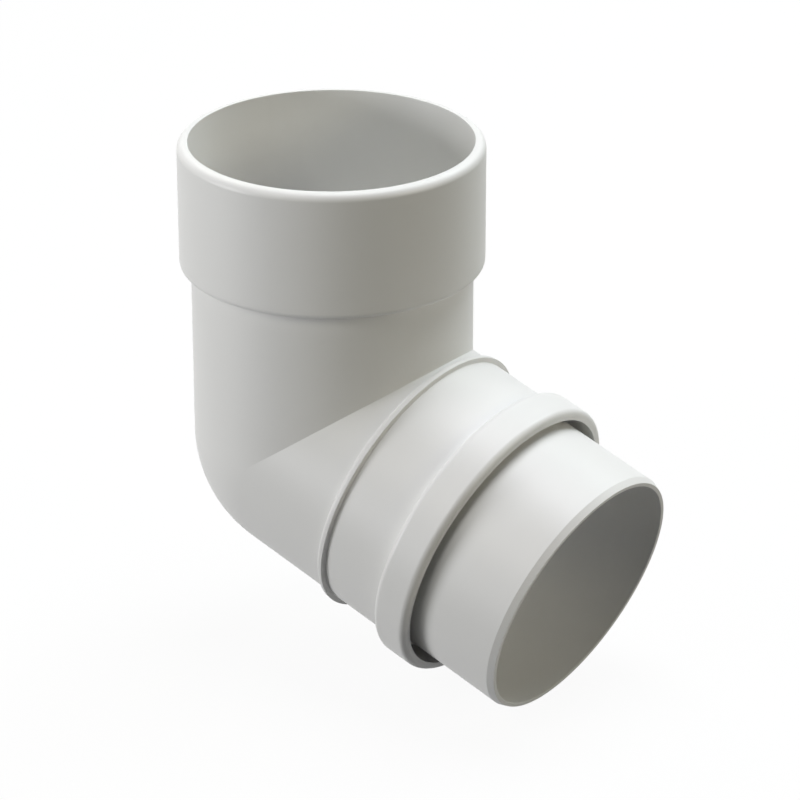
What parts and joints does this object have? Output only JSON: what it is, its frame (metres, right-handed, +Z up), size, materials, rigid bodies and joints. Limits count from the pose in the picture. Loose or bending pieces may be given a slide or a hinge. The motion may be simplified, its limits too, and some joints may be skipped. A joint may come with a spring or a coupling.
{
  "type": "downspout elbow",
  "caption": "Round plastic downpipe elbow: a socket on a straight upper leg, a sharp mitred bend with a ball-shaped heel, and a spigot outlet with a bead and a shrouding collar.",
  "frame": {"origin": "centre of the pipe stop, the seat inside the socket on which the upper pipe's end rests", "axes": "+Z up the socket's axis, +X the side the outlet leaves towards, Y across the plane of the bend"},
  "size_m": [0.1513, 0.092, 0.1604],
  "materials": {
    "elbow_plastic": "smooth satin off-white rigid PVC, as moulded"
  },
  "bodies": {
    "root": {"downspout_elbow": "elbow_plastic"}
  },
  "joints": []
}
